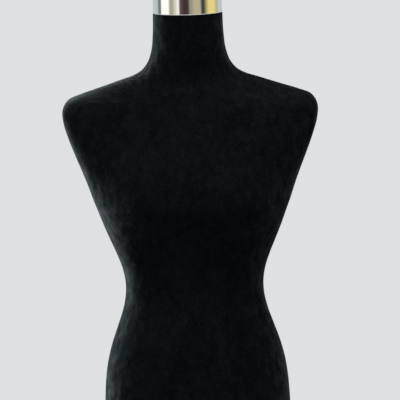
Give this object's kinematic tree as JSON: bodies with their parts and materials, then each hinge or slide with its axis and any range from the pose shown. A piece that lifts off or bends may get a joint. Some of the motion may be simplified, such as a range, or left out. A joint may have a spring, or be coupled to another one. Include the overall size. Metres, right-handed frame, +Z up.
{
  "type": "dress form mannequin",
  "caption": "Armless female dress form torso in black velvet with a chrome neck cap, on a height-adjustable chrome pole with a round weighted base.",
  "frame": {"origin": "on the floor, under the axis of the pole, at the centre of the round base", "axes": "+Z up along the pole, -Y the way the form faces, +X towards the height lock knob (the form's own left)"},
  "size_m": [0.3992, 0.34, 1.604],
  "materials": {
    "velvet": "black stretch velvet with a short brushed pile",
    "moulded_shell": "moulded resin, unpainted",
    "board": "plain sealed plywood",
    "felt": "black needle felt",
    "chrome": "polished chrome plate",
    "zinc_steel": "bright zinc plate",
    "brass": "turned brass",
    "black_plastic": "black moulded plastic",
    "iron": "painted cast iron",
    "rubber": "black rubber"
  },
  "bodies": {
    "stand": {"lower_pole": "chrome", "guide_bush": "black_plastic", "lock_collar": "chrome", "pole_foot": "zinc_steel", "base_flange": "chrome", "base_cover": "chrome", "base_weight": "iron", "base_washer": "zinc_steel", "base_bolt": "zinc_steel", "rubber_foot_1": "rubber", "rubber_foot_2": "rubber", "rubber_foot_3": "rubber", "rubber_foot_4": "rubber", "rubber_foot_5": "rubber"},
    "upper_pole": {"upper_pole": "chrome", "pole_top_plug": "black_plastic", "pole_glide": "black_plastic"},
    "torso": {"velvet_front_panel": "velvet", "velvet_back_panel": "velvet", "torso_front_shell": "moulded_shell", "torso_back_shell": "moulded_shell", "base_board": "board", "underside_felt": "felt", "pole_socket": "zinc_steel", "socket_stop_plug": "black_plastic", "socket_screw_1": "zinc_steel", "socket_screw_2": "zinc_steel", "socket_screw_3": "zinc_steel", "socket_screw_4": "zinc_steel", "neck_board": "board", "neck_insert": "brass"},
    "height_screw": {"height_lock_screw": "zinc_steel"},
    "height_knob": {"height_lock_knob": "black_plastic"},
    "torso_screw": {"torso_lock_screw": "zinc_steel"},
    "torso_knob": {"torso_lock_knob": "black_plastic"},
    "cap_stud": {"cap_stud": "zinc_steel"},
    "neck_cap": {"neck_cap": "chrome", "cap_core": "board", "cap_nut": "zinc_steel"}
  },
  "joints": [
    {"name": "height_slide", "type": "slide", "parent": "stand", "child": "upper_pole", "axis": [0, 0, 1], "range_m": [-0.15, 0.2]},
    {"name": "torso_swivel", "type": "hinge", "parent": "upper_pole", "child": "torso", "pos_m": [0, 0, 0.8], "axis": [0, 0, 1], "continuous": true},
    {"name": "height_lock_travel", "type": "slide", "parent": "stand", "child": "height_screw", "axis": [1, 0, 0], "range_m": [0, 0.0025]},
    {"name": "height_lock_turn", "type": "hinge", "parent": "height_screw", "child": "height_knob", "pos_m": [0.03, 0, 0.57], "axis": [1, 0, 0], "range_deg": [0, 721]},
    {"name": "torso_lock_travel", "type": "slide", "parent": "torso", "child": "torso_screw", "axis": [0, 1, 0], "range_m": [0, 0.0025]},
    {"name": "torso_lock_turn", "type": "hinge", "parent": "torso_screw", "child": "torso_knob", "pos_m": [0, 0.03, 0.776], "axis": [0, 1, 0], "range_deg": [0, 721]},
    {"name": "cap_travel", "type": "slide", "parent": "torso", "child": "cap_stud", "axis": [0, -0.225, 0.9744], "range_m": [0, 0.0101]},
    {"name": "cap_turn", "type": "hinge", "parent": "cap_stud", "child": "neck_cap", "pos_m": [0, -0.02032, 1.538], "axis": [0, -0.225, 0.9744], "range_deg": [0, 2880]}
  ],
  "couplings": [
    {"joint": "height_lock_turn", "follows": "height_lock_travel", "rad_per_m": 5026.5},
    {"joint": "torso_lock_turn", "follows": "torso_lock_travel", "rad_per_m": 5026.5},
    {"joint": "cap_travel", "follows": "cap_turn", "m_per_rad": 0.00019894}
  ]
}
